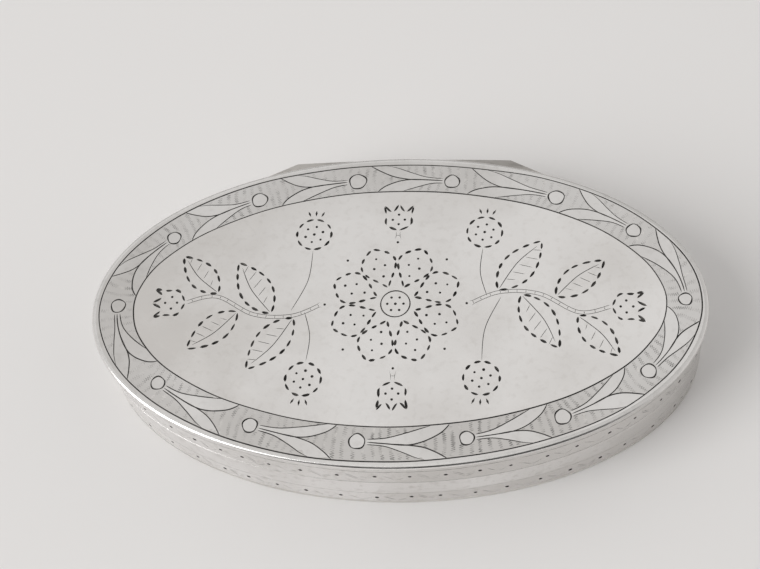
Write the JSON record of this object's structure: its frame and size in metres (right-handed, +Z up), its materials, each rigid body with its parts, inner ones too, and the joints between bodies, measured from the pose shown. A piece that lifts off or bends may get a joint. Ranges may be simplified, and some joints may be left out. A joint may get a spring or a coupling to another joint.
{
  "type": "snuff box",
  "caption": "Oval pocket box of engraved silver with a flat base, upright wall, rounded rim and low-crowned lid on a straight knuckle hinge behind the oval.",
  "frame": {"origin": "on the table, under the middle of the oval, on the base plate's underside", "axes": "+X along the box, +Y to the back where the hinge is, +Z up out of the lid"},
  "size_m": [0.08, 0.0473, 0.0129],
  "materials": {
    "engraved_silver": "satin silver, hand engraved",
    "polished_silver": "worn bright silver",
    "inner_silver": "plain dull silver",
    "hinge_silver": "plain dull silver, darkened in the corners",
    "pin_wire": "drawn wire, filed at the ends"
  },
  "bodies": {
    "body": {"base_plate": "inner_silver", "body_wall": "engraved_silver", "inner_bezel": "inner_silver", "body_hinge_bearer": "hinge_silver", "hinge_pin": "pin_wire", "hinge_knuckle_1": "hinge_silver", "hinge_knuckle_3": "hinge_silver", "hinge_knuckle_5": "hinge_silver", "hinge_knuckle_7": "hinge_silver", "hinge_knuckle_9": "hinge_silver"},
    "lid": {"lid_skirt": "engraved_silver", "lid_rim_wire": "polished_silver", "lid_plate": "engraved_silver", "lid_hinge_bearer": "hinge_silver", "hinge_knuckle_2": "hinge_silver", "hinge_knuckle_4": "hinge_silver", "hinge_knuckle_6": "hinge_silver", "hinge_knuckle_8": "hinge_silver"}
  },
  "joints": [
    {"name": "lid_hinge", "type": "hinge", "parent": "body", "child": "lid", "pos_m": [0, 0.02388, 0.0069], "axis": [-1, 0, 0], "range_deg": [0, 108]}
  ]
}
